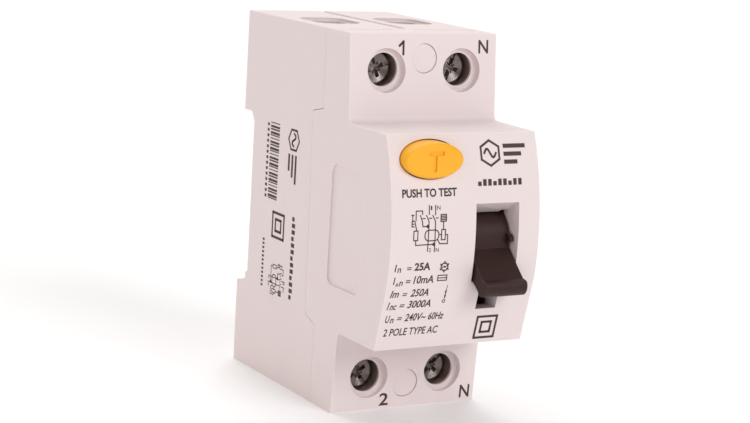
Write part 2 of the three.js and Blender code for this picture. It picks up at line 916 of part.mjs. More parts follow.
add("rear_base", rearBase(), PLASTIC, 0.55);
add("front_cover", frontCover(), PLASTIC, 0.5);
add("cover_plug_upper", plug(UPPER_PLUG_Z), PLASTIC, 0.5);
add("cover_plug_lower", plug(LOWER_PLUG_Z), PLASTIC, 0.5);
add("cover_screw_upper", coverScrew(UPPER_PLUG_Z), STEEL, 0.35, 1);
add("cover_screw_lower", coverScrew(LOWER_PLUG_Z), STEEL, 0.35, 1);
add("toggle_lever", toggleLever(), DARK, 0.5);
add("toggle_axle", rodX(DRUM_Y, DRUM_Z, AXLE_R, -8.4, 16.6, 24), STEEL, 0.3, 1);
add("toggle_spring", toggleSpring(), STEEL, 0.3, 1);
add("toggle_link", toggleLink(), STEEL, 0.35, 1);
add("contact_carrier", contactCarrier(), 0x4a4440, 0.5);
add("carrier_shaft", rodX(CARRIER_Y, CARRIER_Z, 1, -15.6, 15.6, 20), STEEL, 0.3, 1);
const sides = [
  ["left", -1],
  ["right", 1],
];
for (const [label, side] of sides) {
  const x = side * TERMINAL_X;
  add("moving_contact_" + label, movingContact(side * 9), COPPER, 0.35, 1);
  add("upper_tongue_" + label, upperTongue(x), COPPER, 0.35, 1);
  add("lower_tongue_" + label, lowerTongue(x), COPPER, 0.35, 1);
  add("primary_conductor_" + label, primaryConductor(side), COPPER, 0.35, 1);
  add("terminal_screw_upper_" + label, terminalScrew(x, UPPER_TERMINAL_Z), STEEL, 0.3, 1);
  add("terminal_screw_lower_" + label, terminalScrew(x, LOWER_TERMINAL_Z), STEEL, 0.3, 1);
  add("well_sleeve_upper_" + label, wellSleeve(x, UPPER_TERMINAL_Z), BRONZE, 0.4, 1);
  add("well_sleeve_lower_" + label, wellSleeve(x, LOWER_TERMINAL_Z), BRONZE, 0.4, 1);
  add("terminal_cage_upper_" + label, terminalCage(x, UPPER_TERMINAL_Z), STEEL, 0.4, 1);
  add("terminal_cage_lower_" + label, terminalCage(x, LOWER_TERMINAL_Z), STEEL, 0.4, 1);
}
add("sensing_core", sensingCore(), 0x55524e, 0.5);
add("secondary_winding", secondaryWinding(), 0xa8542c, 0.45);
add("trip_relay", tripRelay(), 0x2f4a66, 0.5);
add("trip_plunger", tripPlunger(), STEEL, 0.3, 1);
add("latch_lever", latchLever(), 0x6b625c, 0.45);
add("latch_pin", latchPin(), STEEL, 0.3, 1);
add("test_button", testButton(), 0xfdb22a, 0.45);
add("test_spring", testSpring(), STEEL, 0.3, 1);
add("test_peg", testPeg(), STEEL, 0.3, 1);
add("test_contact", testContact(), COPPER, 0.35, 1);
add("test_resistor", testResistor(), 0x6f8f9a, 0.5);
add("rail_clip", railClip(), 0x3f4144, 0.5);
add("rail_clip_spring", clipSpring(), STEEL, 0.3, 1);

export default root;
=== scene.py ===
import math

import bmesh
import bpy
from mathutils import Matrix, Vector


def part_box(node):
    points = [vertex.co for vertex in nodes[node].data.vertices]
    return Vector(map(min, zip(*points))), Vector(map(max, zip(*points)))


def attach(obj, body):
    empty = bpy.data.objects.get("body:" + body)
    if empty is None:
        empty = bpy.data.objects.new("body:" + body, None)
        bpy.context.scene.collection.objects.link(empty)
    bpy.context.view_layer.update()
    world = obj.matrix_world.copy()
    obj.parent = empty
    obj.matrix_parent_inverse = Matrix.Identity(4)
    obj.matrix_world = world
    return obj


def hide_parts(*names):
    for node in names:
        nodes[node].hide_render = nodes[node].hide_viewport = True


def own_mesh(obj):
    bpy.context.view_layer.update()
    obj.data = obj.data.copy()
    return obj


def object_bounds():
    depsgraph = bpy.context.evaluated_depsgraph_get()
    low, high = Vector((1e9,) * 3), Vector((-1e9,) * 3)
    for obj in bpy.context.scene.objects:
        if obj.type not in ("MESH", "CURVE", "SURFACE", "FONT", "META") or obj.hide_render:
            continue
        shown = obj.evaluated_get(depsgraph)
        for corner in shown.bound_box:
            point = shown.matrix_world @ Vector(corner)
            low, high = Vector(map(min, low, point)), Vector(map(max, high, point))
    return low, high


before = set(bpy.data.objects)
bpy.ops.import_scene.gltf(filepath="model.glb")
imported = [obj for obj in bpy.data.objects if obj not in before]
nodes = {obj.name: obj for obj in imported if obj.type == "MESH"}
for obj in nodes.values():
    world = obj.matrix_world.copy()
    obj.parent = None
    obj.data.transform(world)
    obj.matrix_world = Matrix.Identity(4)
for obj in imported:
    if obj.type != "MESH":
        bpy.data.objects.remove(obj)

# Sizes and places are in mm, in the CAD frame, and turn into metres through MM.
MM = 0.001
cad_low, cad_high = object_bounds()


def to_mm(metres):
    """A CAD measure in mm, rounded to 0.01."""
    return round(metres / MM, 2)


def middle(node):
    """Middle of a CAD node's box at rest, in mm."""
    low_corner, high_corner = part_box(node)
    return [to_mm((a + b) / 2) for a, b in zip(low_corner, high_corner)]


def front_y(node):
    """Y of a CAD node's frontmost point at rest, in mm."""
    return to_mm(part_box(node)[0].y)


# ---------------------------------------------------------------- camera

AZIMUTH = math.radians(-30.07)
ELEVATION = math.radians(10.356)
ROLL = math.radians(3.413)
CAMERA_PLACE = Vector((-0.21861, -0.40371, 0.07935))  # metres
SENSOR_WIDTH = 36
FOCAL_LENGTH = 95.590416


def set_camera():
    """Camera at the photograph's viewing angle."""
    level = math.cos(ELEVATION)
    back = Vector((math.sin(AZIMUTH) * level, -math.cos(AZIMUTH) * level, math.sin(ELEVATION)))
    right = Vector((0, 0, 1)).cross(back).normalized()
    up = back.cross(right)
    right_rolled = math.cos(ROLL) * right + math.sin(ROLL) * up
    up_rolled = -math.sin(ROLL) * right + math.cos(ROLL) * up
    data = bpy.data.cameras.new("studio_camera")
    data.sensor_width = SENSOR_WIDTH
    data.lens = FOCAL_LENGTH
    data.clip_start = 0.01
    data.clip_end = 20
    cam = bpy.data.objects.new("studio_camera", data)
    bpy.context.scene.collection.objects.link(cam)
    turn = Matrix((right_rolled, up_rolled, back)).transposed().to_4x4()
    cam.matrix_world = Matrix.Translation(CAMERA_PLACE) @ turn
    bpy.context.scene.camera = cam


set_camera()

# ---------------------------------------------------------------- materials

# The edge mask places the painted edge highlight and wear. It starts where one minus the cosine of the
# normal's turn is EDGE_START, and is full at EDGE_FULL.
EDGE_REACH = 0.3 * MM
EDGE_START, EDGE_FULL = 0.02, 0.3
TOOL_MARK_PITCH = 0.16 * MM

# The four terminal screws stand at the corners of a rectangle.
SCREW_X, _, UPPER_SCREW_Z = middle("terminal_screw_upper_right")
LOWER_SCREW_Z = middle("terminal_screw_lower_right")[2]


def new_material(name):
    mat = bpy.data.materials.new(name)
    mat.use_nodes = True
    tree = mat.node_tree
    return mat, tree, tree.nodes["Principled BSDF"]


def link(tree, source, target):
    tree.links.new(source, target)


def object_coords(tree):
    return tree.nodes.new("ShaderNodeTexCoord").outputs["Object"]


def noise(tree, scale, detail, rough, vector=None):
    n = tree.nodes.new("ShaderNodeTexNoise")
    n.inputs["Scale"].default_value = scale
    n.inputs["Detail"].default_value = detail
    n.inputs["Roughness"].default_value = rough
    link(tree, vector or object_coords(tree), n.inputs["Vector"])
    return n.outputs["Fac"]


def span(tree, fac, low, high):
    """Stretches 0 to 1 onto low to high."""
    n = tree.nodes.new("ShaderNodeMapRange")
    n.inputs["To Min"].default_value = low
    n.inputs["To Max"].default_value = high
    link(tree, fac, n.inputs["Value"])
    return n.outputs["Result"]


def mix(tree, fac, a, b):
    """Mixes two colours, each a tuple or a socket."""
    n = tree.nodes.new("ShaderNodeMix")
    n.data_type = "RGBA"
    link(tree, fac, n.inputs["Factor"])
    for letter, value in (("A", a), ("B", b)):
        socket = [s for s in n.inputs if s.name == letter and s.type == "RGBA"][0]
        if isinstance(value, tuple):
            socket.default_value = (*value, 1)
        else:
            link(tree, value, socket)
    return [s for s in n.outputs if s.type == "RGBA"][0]


def bump(tree, bsdf, height, strength, distance):
    n = tree.nodes.new("ShaderNodeBump")
    n.inputs["Strength"].default_value = strength
    n.inputs["Distance"].default_value = distance
    link(tree, height, n.inputs["Height"])
    link(tree, n.outputs["Normal"], bsdf.inputs["Normal"])


def edge_highlight_and_wear_mask(tree):
    """White along edges, where a painted edge highlight and wear go: how far a normal rounded over
    EDGE_REACH turns from the true one.
    """
    geo = tree.nodes.new("ShaderNodeNewGeometry")
    rounded = tree.nodes.new("ShaderNodeBevel")
    rounded.samples = 4
    rounded.inputs["Radius"].default_value = EDGE_REACH
    dot = tree.nodes.new("ShaderNodeVectorMath")
    dot.operation = "DOT_PRODUCT"
    link(tree, geo.outputs["True Normal"], dot.inputs[0])
    link(tree, rounded.outputs["Normal"], dot.inputs[1])
    n = tree.nodes.new("ShaderNodeMapRange")
    n.inputs["From Min"].default_value = 1 - EDGE_START
    n.inputs["From Max"].default_value = 1 - EDGE_FULL
    link(tree, dot.outputs["Value"], n.inputs["Value"])
    return n.outputs["Result"]


def moulded(name, colour, tint, edge, roughness=(0.42, 0.56), grain=5200, depth=0.01, specular=0.45):
    """Moulded plastic: spark-eroded grain of a depth in mm, faint flow clouds, and paler edges that are
    painted highlight and wear.
    """
    mat, tree, bsdf = new_material(name)
    clouds = noise(tree, scale=55, detail=4, rough=0.6)
    speck = noise(tree, scale=900, detail=2, rough=0.5)
    base = mix(tree, span(tree, clouds, 0.0, 1.0), colour, tint)
    base = mix(tree, span(tree, speck, 0.0, 0.18), base, tint)
    # Paler edges: a painted edge highlight, and wear.
    base = mix(tree, edge_highlight_and_wear_mask(tree), base, edge)
    link(tree, base, bsdf.inputs["Base Color"])
    sheen_patches = noise(tree, scale=700, detail=3, rough=0.6)
    link(tree, span(tree, sheen_patches, *roughness), bsdf.inputs["Roughness"])
    bsdf.inputs["Specular IOR Level"].default_value = specular
    bump(tree, bsdf, noise(tree, scale=grain, detail=2, rough=0.6), 0.35, depth * MM)
    return mat


def metal(name, colour, tint, roughness=(0.22, 0.4), streak=(1, 1, 1), scale=2500, metallic=1.0):
    """Plated or drawn metal: streaks drawn out along the axis of low streak scale, and brighter edges
    that are painted highlight and wear.
    """
    mat, tree, bsdf = new_material(name)
    mapping = tree.nodes.new("ShaderNodeMapping")
    mapping.inputs["Scale"].default_value = streak
    link(tree, object_coords(tree), mapping.inputs["Vector"])
    streaks = noise(tree, scale, detail=3, rough=0.6, vector=mapping.outputs["Vector"])
    mottle = noise(tree, scale=400, detail=3, rough=0.6)
    # The brighter edge colour is a painted edge highlight, and wear.
    bright = tuple(min(1.0, c * 1.35 + 0.05) for c in colour)
    base = mix(tree, span(tree, mottle, 0.0, 1.0), colour, tint)
    base = mix(tree, edge_highlight_and_wear_mask(tree), base, bright)
    link(tree, base, bsdf.inputs["Base Color"])
    bsdf.inputs["Metallic"].default_value = metallic
    link(tree, span(tree, streaks, *roughness), bsdf.inputs["Roughness"])
    bump(tree, bsdf, streaks, 0.3, 0.004 * MM)
    return mat


def calculate(tree, operation, *values):
    """Math node on one or two values, each a number or a socket."""
    n = tree.nodes.new("ShaderNodeMath")
    n.operation = operation
    for socket, value in zip(n.inputs, values):
        if isinstance(value, float):
            socket.default_value = value
        else:
            link(tree, value, socket)
    return n.outputs["Value"]


def screw_axis_distance(tree):
    """Distance from the nearest terminal screw's axis."""
    split = tree.nodes.new("ShaderNodeSeparateXYZ")
    link(tree, object_coords(tree), split.inputs["Vector"])
    middle_z = (UPPER_SCREW_Z + LOWER_SCREW_Z) / 2
    half_z = (UPPER_SCREW_Z - LOWER_SCREW_Z) / 2
    from_middle = calculate(tree, "SUBTRACT", split.outputs["Z"], middle_z * MM)
    dx = calculate(tree, "SUBTRACT", calculate(tree, "ABSOLUTE", split.outputs["X"]), SCREW_X * MM)
    dz = calculate(tree, "SUBTRACT", calculate(tree, "ABSOLUTE", from_middle), half_z * MM)
    square_x = calculate(tree, "MULTIPLY", dx, dx)
    square_z = calculate(tree, "MULTIPLY", dz, dz)
    return calculate(tree, "SQRT", calculate(tree, "ADD", square_x, square_z))


def turned_metal(name, colour, tint):
    """Zinc-plated screw head: concentric tool marks round each terminal axis."""
    mat, tree, bsdf = new_material(name)
    waves = calculate(tree, "MULTIPLY", screw_axis_distance(tree), 2 * math.pi / TOOL_MARK_PITCH)
    rings = calculate(tree, "SINE", waves)
    wobble = noise(tree, scale=1500, detail=3, rough=0.6)
    marks = calculate(tree, "ADD", calculate(tree, "MULTIPLY", rings, 0.5), wobble)
    mottle = noise(tree, scale=900, detail=3, rough=0.6)
    link(tree, mix(tree, span(tree, mottle, 0.0, 1.0), colour, tint), bsdf.inputs["Base Color"])
    bsdf.inputs["Metallic"].default_value = 1.0
    link(tree, span(tree, wobble, 0.05, 0.38), bsdf.inputs["Roughness"])
    bump(tree, bsdf, marks, 0.6, 0.03 * MM)
    return mat


# The third colour of each moulding is its edge colour: a painted edge highlight, and wear.
PLASTIC = moulded("housing_plastic", (0.80, 0.70, 0.692), (0.775, 0.67, 0.662), (0.90, 0.84, 0.83))
TOGGLE = moulded(
    "toggle_plastic", (0.027, 0.0105, 0.008), (0.036, 0.0145, 0.011), (0.08, 0.045, 0.035),
    roughness=(0.4, 0.52), grain=3800, depth=0.02, specular=0.25,
)
BUTTON = moulded(
    "button_plastic", (0.96, 0.45, 0.010), (0.90, 0.40, 0.008), (1.0, 0.55, 0.05),
    roughness=(0.36, 0.5), depth=0.006,
)
INK = moulded(
    "print_ink", (0.036, 0.018, 0.016), (0.055, 0.030, 0.027), (0.06, 0.035, 0.032),
    roughness=(0.5, 0.65), grain=4200, depth=0.002,
)
SCREW = turned_metal("screw_steel", (0.34, 0.285, 0.275), (0.20, 0.165, 0.155))
STEEL = metal("zinc_steel", (0.50, 0.49, 0.48), (0.40, 0.39, 0.38), streak=(1, 0.1, 1))
SPRING = metal("spring_steel", (0.55, 0.54, 0.54), (0.44, 0.43, 0.43), roughness=(0.18, 0.32))
SLEEVE = metal(
    "sleeve_steel", (0.40, 0.31, 0.25), (0.27, 0.20, 0.165),
    roughness=(0.25, 0.45), streak=(1, 0.1, 1), scale=1800, metallic=0.55,
)
CAGE = metal(
    "cage_steel", (0.48, 0.46, 0.42), (0.38, 0.36, 0.31), roughness=(0.3, 0.5), streak=(1, 1, 0.12)
)
COPPER = metal(
    "copper_strip", (0.72, 0.40, 0.24), (0.60, 0.30, 0.17), roughness=(0.25, 0.42), streak=(1, 1, 0.12)
)
DARK = moulded(
    "dark_moulding", (0.045, 0.045, 0.05), (0.06, 0.06, 0.065), (0.12, 0.12, 0.13),
    roughness=(0.42, 0.58), grain=3800, depth=0.02,
)
LATCH = moulded("latch_plastic", (0.2, 0.17, 0.15), (0.16, 0.135, 0.12), (0.3, 0.26, 0.24))
CORE = moulded(
    "core_coating", (0.12, 0.11, 0.10), (0.09, 0.085, 0.08), (0.2, 0.19, 0.18),
    roughness=(0.3, 0.5), grain=2500, depth=0.02,
)
WINDING = metal(
    "winding_enamel", (0.50, 0.18, 0.06), (0.36, 0.11, 0.04),
    roughness=(0.2, 0.35), streak=(1, 1, 0.1), scale=4000,
)
RELAY = moulded("relay_plastic", (0.035, 0.085, 0.16), (0.03, 0.07, 0.13), (0.1, 0.17, 0.26))
RESISTOR = moulded(
    "resistor_lacquer", (0.2, 0.32, 0.38), (0.17, 0.27, 0.33), (0.3, 0.42, 0.5), roughness=(0.15, 0.25)
)

# ---------------------------------------------------------------- CAD nodes

SMOOTH_UP_TO = math.radians(32)
BEVEL_FROM = math.radians(35)
FLAT_WITHIN = math.radians(0.6)
WELD_REACH = 0.004


def smooth_by_angle():
    """Node group that shades smooth and keeps edges sharper than SMOOTH_UP_TO hard."""
    group = bpy.data.node_groups.new("smooth_by_angle", "GeometryNodeTree")
    for way in ("INPUT", "OUTPUT"):
        group.interface.new_socket("Geometry", in_out=way, socket_type="NodeSocketGeometry")
    source = group.nodes.new("NodeGroupInput")
    target = group.nodes.new("NodeGroupOutput")
    faces = group.nodes.new("GeometryNodeSetShadeSmooth")
    edges = group.nodes.new("GeometryNodeSetShadeSmooth")
    edges.domain = "EDGE"
    edges.inputs["Shade Smooth"].default_value = False
    angle = group.nodes.new("GeometryNodeInputMeshEdgeAngle")
    compare = group.nodes.new("FunctionNodeCompare")
    compare.operation = "GREATER_THAN"
    compare.inputs["B"].default_value = SMOOTH_UP_TO
    group.links.new(source.outputs[0], faces.inputs["Geometry"])
    group.links.new(faces.outputs["Geometry"], edges.inputs["Geometry"])
    group.links.new(angle.outputs["Unsigned Angle"], compare.inputs["A"])
    group.links.new(compare.outputs["Result"], edges.inputs["Selection"])
    group.links.new(edges.outputs["Geometry"], target.inputs[0])
    return group


SMOOTH = smooth_by_angle()


def shade(obj):
    obj.modifiers.new("shade", "NODES").node_group = SMOOTH


def round_edges(obj, width, segments):
    """Bevels the sharp edges after shading, so that flat faces keep flat normals."""
    rounded = obj.modifiers.new("rounded", "BEVEL")
    rounded.width = width * MM
    rounded.segments = segments
    rounded.limit_method = "ANGLE"
    rounded.angle_limit = BEVEL_FROM
    rounded.harden_normals = True


def finish_node(obj, material, bevel, segments):
    """Cleans up a faceted solid, rounds its edges and gives it its material."""
    obj.data.materials.clear()
    obj.data.materials.append(material)
    weld = obj.modifiers.new("weld", "WELD")
    weld.merge_threshold = WELD_REACH * MM
    flat = obj.modifiers.new("flat_faces", "DECIMATE")
    flat.decimate_type = "DISSOLVE"
    flat.angle_limit = FLAT_WITHIN
    shade(obj)
    if bevel:
        round_edges(obj, bevel, segments)


# How each node is finished: the names, or how they start, then material, bevel and its segments.
# The test button and the terminal screws have no line, because pieces below replace them.
FINISHES = (
    (("rear_base",), PLASTIC, 0.4, 3),
    (("front_cover",), PLASTIC, 0.22, 2),
    (("cover_plug_",), PLASTIC, 0.12, 2),
    (("toggle_lever",), TOGGLE, 0.2, 2),
    (("well_sleeve_",), SLEEVE, 0.08, 2),
    (("terminal_cage_",), CAGE, 0.2, 2),
    (("upper_tongue_", "lower_tongue_", "moving_contact_", "test_contact"), COPPER, 0.12, 2),
    (("primary_conductor_",), COPPER, 0, 0),
    (("cover_screw_", "toggle_axle", "carrier_shaft", "latch_pin", "test_peg"), STEEL, 0.08, 2),
    (("toggle_link",), STEEL, 0.08, 2),
    (("toggle_spring", "rail_clip_spring"), SPRING, 0, 0),
    (("test_spring", "trip_plunger"), SPRING, 0.08, 2),
    (("contact_carrier", "rail_clip"), DARK, 0.2, 2),
    (("latch_lever",), LATCH, 0.2, 2),
    (("sensing_core",), CORE, 0.2, 2),
    (("secondary_winding",), WINDING, 0.2, 2),
    (("trip_relay",), RELAY, 0.2, 2),
    (("test_resistor",), RESISTOR, 0.2, 2),
)


def finish_nodes():
    """Finishes every node by the first line of FINISHES that its name fits."""
    for name, obj in nodes.items():
        for starts, material, bevel, segments in FINISHES:
            if name.startswith(starts):
                finish_node(obj, material, bevel, segments)
                break


finish_nodes()

# ---------------------------------------------------------------- printed marks

# The nose's front, as in the CAD: an arc about the middle that runs straight below the crease.
CROWN_Y, CROWN_R = -64.4, 60.0
CREASE_Z = -8.0
NOSE_HALF, NOSE_LOW_Y = 22.5, -60.2

# The terminal decks, as in the CAD: each slopes forward from the object's end to the nose.
TOP_Z, BOTTOM_Z = to_mm(cad_high.z), to_mm(cad_low.z)
UPPER_DECK_Y, UPPER_DECK_SLOPE = -42.7, 1.54 / 18.4
LOWER_DECK_Y, LOWER_DECK_SLOPE = -43.15, 1.05 / 18

INK_LIFT = 0.02
INK_HALF_DEPTH = 0.01
STRIP_STEP = 1.2
END_OVERLAP = 0.8
FONT_CURVE_STEPS = 3


def nose_y(z):
    axis_y = CROWN_Y + CROWN_R
    if z >= CREASE_Z:
        return axis_y - math.sqrt(CROWN_R**2 - z * z)
    crease_y = axis_y - math.sqrt(CROWN_R**2 - CREASE_Z**2)
    return crease_y + (NOSE_LOW_Y - crease_y) * (z - CREASE_Z) / (-NOSE_HALF - CREASE_Z)


def deck_y(z):
    if z > 0:
        return UPPER_DECK_Y - (TOP_Z - z) * UPPER_DECK_SLOPE
    return LOWER_DECK_Y - (z - BOTTOM_Z) * LOWER_DECK_SLOPE


def on_nose(u, v, w):
    return Vector((u, nose_y(v) - INK_LIFT - w, v))


def on_deck(u, v, w):
    return Vector((u, deck_y(v) - INK_LIFT - w, v))


def on_left_side(u, v, w):
    """u runs down the side, the way the print reads, and v towards the front."""
    return Vector((to_mm(cad_low.x) - INK_LIFT - w, -v, -u))


# Each printed face has its way of placing a mark and the mesh that gathers its marks.
PLACES = {"nose": on_nose, "decks": on_deck, "left_side": on_left_side}
inks = {face: bmesh.new() for face in PLACES}


def text_mesh(text, italic, bold):
    curve = bpy.data.curves.new("run", "FONT")
    curve.body = text
    curve.shear = italic
    curve.offset = bold
    curve.extrude = INK_HALF_DEPTH
    curve.resolution_u = FONT_CURVE_STEPS
    obj = bpy.data.objects.new("run", curve)
    bpy.context.scene.collection.objects.link(obj)
    bpy.context.view_layer.update()
    graph = bpy.context.evaluated_depsgraph_get()
    mesh = bpy.data.meshes.new_from_object(obj.evaluated_get(graph))
    bpy.data.objects.remove(obj)
    bpy.data.curves.remove(curve)
    return mesh


def ink_text(face, text, u0, u1, v0, v1, italic=0.0, bold=0.0):
    """Lettering whose outline exactly fills u0 to u1 and v0 to v1 on the face."""
    mesh = text_mesh(text, italic, bold)
    xs = [p.co.x for p in mesh.vertices]
    ys = [p.co.y for p in mesh.vertices]
    for p in mesh.vertices:
        u = u0 + (u1 - u0) * (p.co.x - min(xs)) / (max(xs) - min(xs))
        v = v0 + (v1 - v0) * (p.co.y - min(ys)) / (max(ys) - min(ys))
        p.co = PLACES[face](u, v, p.co.z) * MM
    inks[face].from_mesh(mesh)
    bpy.data.meshes.remove(mesh)


def bridge(bm, rows):
    """Faces from each row of points to the next, and a cap on both ends."""
    count = len(rows[0])
    for a, b in zip(rows, rows[1:]):
        for k in range(count):
            bm.faces.new((a[k], a[(k + 1) % count], b[(k + 1) % count], b[k]))
    bm.faces.new(rows[0][::-1])
    bm.faces.new(rows[-1])


def ink_line(face, points, thick, closed=False):
    """A line through (u, v) points as raised strips, in steps short enough to follow the surface."""
    bm = inks[face]
    half = thick / 2
    overlap = END_OVERLAP * half
    section = (
        (-half, -INK_HALF_DEPTH), (half, -INK_HALF_DEPTH), (half, INK_HALF_DEPTH), (-half, INK_HALF_DEPTH)
    )
    if closed:
        points = [*points, points[0]]
    for (u0, v0), (u1, v1) in zip(points, points[1:]):
        length = math.hypot(u1 - u0, v1 - v0)
        du, dv = (u1 - u0) / length, (v1 - v0) / length
        steps = max(1, math.ceil(length / STRIP_STEP))
        rows = []
        for i in range(steps + 1):
            t = -overlap + (length + 2 * overlap) * i / steps
            corners = [PLACES[face](u0 + du * t - dv * s, v0 + dv * t + du * s, w) for s, w in section]
            rows.append([bm.verts.new(corner * MM) for corner in corners])
        bridge(bm, rows)


def ink_bar(face, u0, u1, v0, v1):
    """A filled rectangle, as a line along its longer side."""
    thick = min(u1 - u0, v1 - v0)
    inset = END_OVERLAP * thick / 2
    if u1 - u0 > v1 - v0:
        middle_v = (v0 + v1) / 2
        ends = [(u0 + inset, middle_v), (u1 - inset, middle_v)]
    else:
        middle_u = (u0 + u1) / 2
        ends = [(middle_u, v0 + inset), (middle_u, v1 - inset)]
    ink_line(face, ends, thick)


def ring_points(u, v, r, count, start=0.0, sweep=360.0):
    """Points round a circle, or along an arc of it with both its ends, with angles in degrees."""
    last = count if sweep == 360.0 else count + 1
    angles = [math.radians(start + sweep * i / count) for i in range(last)]
    return [(u + r * math.cos(a), v + r * math.sin(a)) for a in angles]


def box_points(u0, u1, v0, v1):
    return [(u0, v0), (u1, v0), (u1, v1), (u0, v1)]


def rounded_box(u0, u1, v0, v1, r):
    corners = ((u1 - r, v1 - r), (u0 + r, v1 - r), (u0 + r, v0 + r), (u1 - r, v0 + r))
    points = []
    for i, (u, v) in enumerate(corners):
        points += ring_points(u, v, r, 5, start=90 * i, sweep=90.0)
    return points


def deck_print():
    """Terminal numbers, and a dot above the lower plug."""
    ink_text("decks", "N", 13.5, 16.0, 36.95, 39.85, bold=0.018)
    ink_line("decks", [(-6.15, 38.55), (-5.2, 39.45), (-5.2, 36.75)], 0.5)
    ink_text("decks", "2", -6.1, -3.85, -39.95, -37.1, bold=0.018)
    ink_text("decks", "N", 14.4, 16.95, -39.85, -36.9, bold=0.018)
    ink_line("decks", ring_points(0.6, -31.3, 0.08, 6), 0.14, closed=True)


# The wiring diagram about its own middle: lines, boxes (u0, u1, v0, v1), dots and letters.
DIAGRAM_LINES = (
    ((-0.2, 4.75), (-0.2, 2.95)),
    ((1.3, 4.7), (1.3, 2.8)),
    ((-0.85, 2.75), (-0.25, 1.5), (-0.3, -4.65)),
    ((0.65, 2.7), (1.3, 1.45), (1.33, -4.8)),
    ((-2.3, 2.8), (-1.8, 1.45), (-1.68, 0.5), (-0.45, 0.5)),
    ((-1.75, 2.12), (-1.2, 2.14)),
    ((-0.15, 2.12), (0.4, 2.14)),
    ((1.45, 2.14), (1.9, 2.16)),
    ((-1.8, 3.0), (-1.8, 3.7), (-3.3, 3.72), (-3.34, 1.75)),
    ((-3.6, 1.55), (-3.2, 0.0), (-3.22, -0.35)),
    ((-3.25, -2.3), (-3.23, -3.3), (1.1, -3.26)),
    ((2.2, -1.3), (2.85, -1.3)),
    ((3.75, -1.37), (4.3, -1.37), (4.35, -3.25), (2.5, -3.2), (2.0, -2.4)),
    ((3.27, -0.1), (3.22, 1.35)),
    ((2.7, 1.75), (3.8, 1.75)),
    ((2.7, 2.1), (4.0, 2.1)),
    ((2.7, 2.45), (3.8, 2.45)),
    ((-4.35, 2.9), (-3.85, 2.9)),
    ((-4.1, 2.8), (-4.1, 2.4)),
    ((-4.1, 2.15), (-4.1, 1.85)),
    ((-3.75, 1.67), (-4.25, 1.67), (-4.25, 0.55), (-3.75, 0.55)),
    ((-4.25, 1.1), (-3.8, 1.1)),
)
DIAGRAM_BOXES = (
    (-3.75, -2.8, -2.3, -0.35),
    (2.85, 3.75, -2.4, -0.3),
    (2.6, 3.9, 1.4, 2.8),
)
DIAGRAM_DOTS = ((1.1, -3.26), (-0.45, 0.5))
DIAGRAM_LETTERS = (
    ("1", 0.15, 0.5, 3.8, 4.65),
    ("N", 1.65, 2.45, 3.8, 4.65),
    ("2", 0.0, 0.5, -4.85, -4.0),
    ("N", 1.65, 2.4, -4.9, -4.05),
)


def wiring_diagram(face, u, v, s, thick):
    """Plain two-pole circuit: switch blades, sensing ring, tripping coil and test branch."""
    for points in DIAGRAM_LINES:
        ink_line(face, [(u + a * s, v + b * s) for a, b in points], thick)
    for u0, u1, v0, v1 in DIAGRAM_BOXES:
        ink_line(face, box_points(u + u0 * s, u + u1 * s, v + v0 * s, v + v1 * s), thick, closed=True)
    sensing_ring = rounded_box(u - 1.1 * s, u + 2.2 * s, v - 2.5 * s, v - 0.3 * s, 0.95 * s)
    ink_line(face, sensing_ring, thick, closed=True)
    for a, b in DIAGRAM_DOTS:
        ink_line(face, ring_points(u + a * s, v + b * s, 0.17, 8), 0.36, closed=True)
    for text, u0, u1, v0, v1 in DIAGRAM_LETTERS:
        ink_text(face, text, u + u0 * s, u + u1 * s, v + v0 * s, v + v1 * s)


def emblem(face, u, v, s):
    """Generic mark: a hexagon outline with one period of a wave inside."""
    ink_line(face, ring_points(u, v, 2.3 * s, 6, start=30), 0.42 * s, closed=True)
    steps = 14
    wave = [
        (u + (-1.3 + 2.6 * i / steps) * s, v + 0.75 * s * math.sin(2 * math.pi * i / steps))
        for i in range(steps + 1)
    ]
    ink_line(face, wave, 0.42 * s)


def double_square(face, u, v, s):
    for half in (2.3, 1.1):
        square = box_points(u - half * s, u + half * s, v - half * s, v + half * s)
        ink_line(face, square, 0.5 * s, closed=True)


# The ratings on the nose, with generic values: text, u0, u1, v0, v1, slant and weight.
RATINGS = (
    ("I", -16.65, -16.2, -5.1, -3.56, 0.12, 0.014),
    ("n", -15.95, -15.1, -5.28, -4.35, 0.12, 0.014),
    ("=", -13.73, -12.65, -4.83, -4.24, 0.1, 0.014),
    ("25A", -12.0, -8.2, -5.1, -3.42, 0.04, 0.03),
    ("I", -16.65, -16.2, -7.83, -6.27, 0.15, 0.014),
    ("=", -13.7, -12.55, -7.6, -7.0, 0.15, 0.014),
    ("n", -15.2, -14.35, -8.18, -7.2, 0.15, 0.014),
    ("10mA", -11.9, -7.1, -7.9, -6.2, 0.18, 0.018),
    ("Im", -16.8, -14.75, -10.72, -9.1, 0.25, 0.014),
    ("=", -13.95, -12.75, -10.45, -9.85, 0.25, 0.014),
    ("250A", -12.0, -7.7, -10.75, -9.08, 0.25, 0.018),
    ("I", -16.98, -16.45, -13.38, -11.7, 0.25, 0.014),
    ("nc", -16.3, -14.75, -13.5, -12.42, 0.2, 0.014),
    ("=", -14.08, -12.85, -12.95, -12.33, 0.22, 0.014),
    ("3000A", -12.15, -6.6, -13.3, -11.62, 0.22, 0.018),
    ("U", -16.78, -15.75, -16.32, -14.65, 0.22, 0.014),
    ("n", -15.65, -14.78, -16.42, -15.42, 0.22, 0.014),
    ("=", -14.04, -12.85, -15.82, -15.22, 0.22, 0.014),
    ("240V~", -12.2, -7.15, -16.24, -14.55, 0.22, 0.016),
    ("60Hz", -6.55, -2.8, -16.24, -14.6, 0.22, 0.016),
    ("2 POLE TYPE AC", -16.62, -3.6, -19.4, -17.72, 0.1, 0.014),
)


